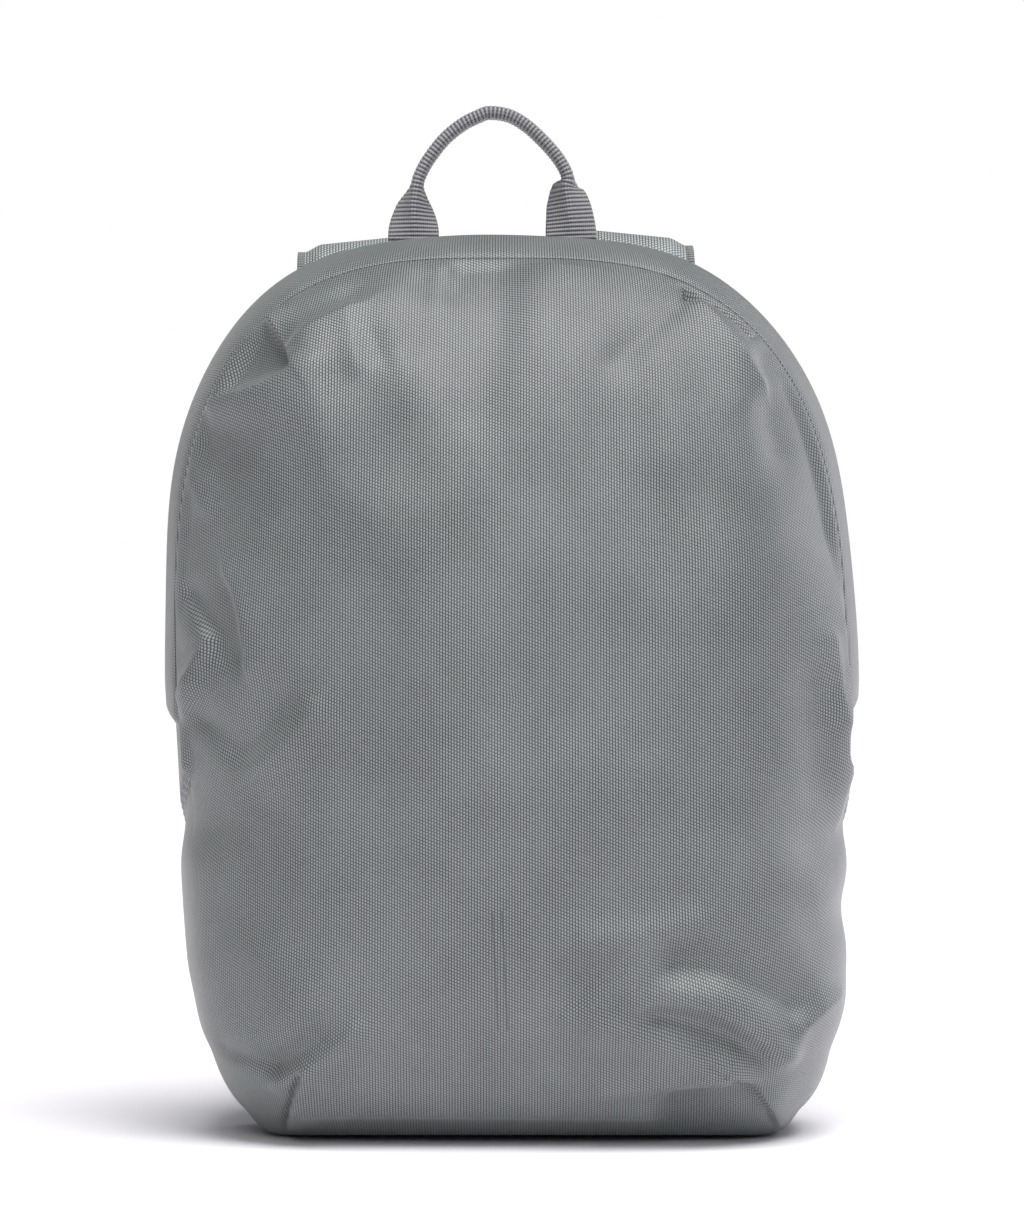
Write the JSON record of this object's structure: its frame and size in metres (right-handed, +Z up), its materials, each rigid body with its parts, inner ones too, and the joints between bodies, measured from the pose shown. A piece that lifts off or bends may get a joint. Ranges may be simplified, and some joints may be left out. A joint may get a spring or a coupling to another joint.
{
  "type": "backpack",
  "caption": "Slim soft-shell backpack, zipped shut: arched cloth front with a padded hood band, padded back panel, folded webbing grab handle and padded shoulder straps.",
  "frame": {"origin": "on the floor under the bag, on the flat of the base and in line with the middle of the front", "axes": "+Z up, +Y from the front of the bag to the wearer's side, +X to the right as seen from the front"},
  "size_m": [0.3031, 0.175, 0.4504],
  "materials": {
    "shell_cloth": "fine grey twill with a satin sheen",
    "pad_cloth": "grey cloth over foam, matt",
    "webbing": "ribbed grey webbing",
    "plastic": "smooth moulded plastic"
  },
  "bodies": {
    "root": {"front_shell": "shell_cloth", "hood": "shell_cloth", "hinge_seam": "shell_cloth", "anchor_tab_left": "shell_cloth", "anchor_tab_right": "shell_cloth", "back_panel": "pad_cloth", "shoulder_strap_left": "pad_cloth", "shoulder_strap_right": "pad_cloth", "zip": "webbing", "grab_handle": "webbing", "strap_webbing_left": "webbing", "strap_webbing_right": "webbing", "ladder_lock_left": "plastic", "ladder_lock_right": "plastic"}
  },
  "joints": []
}
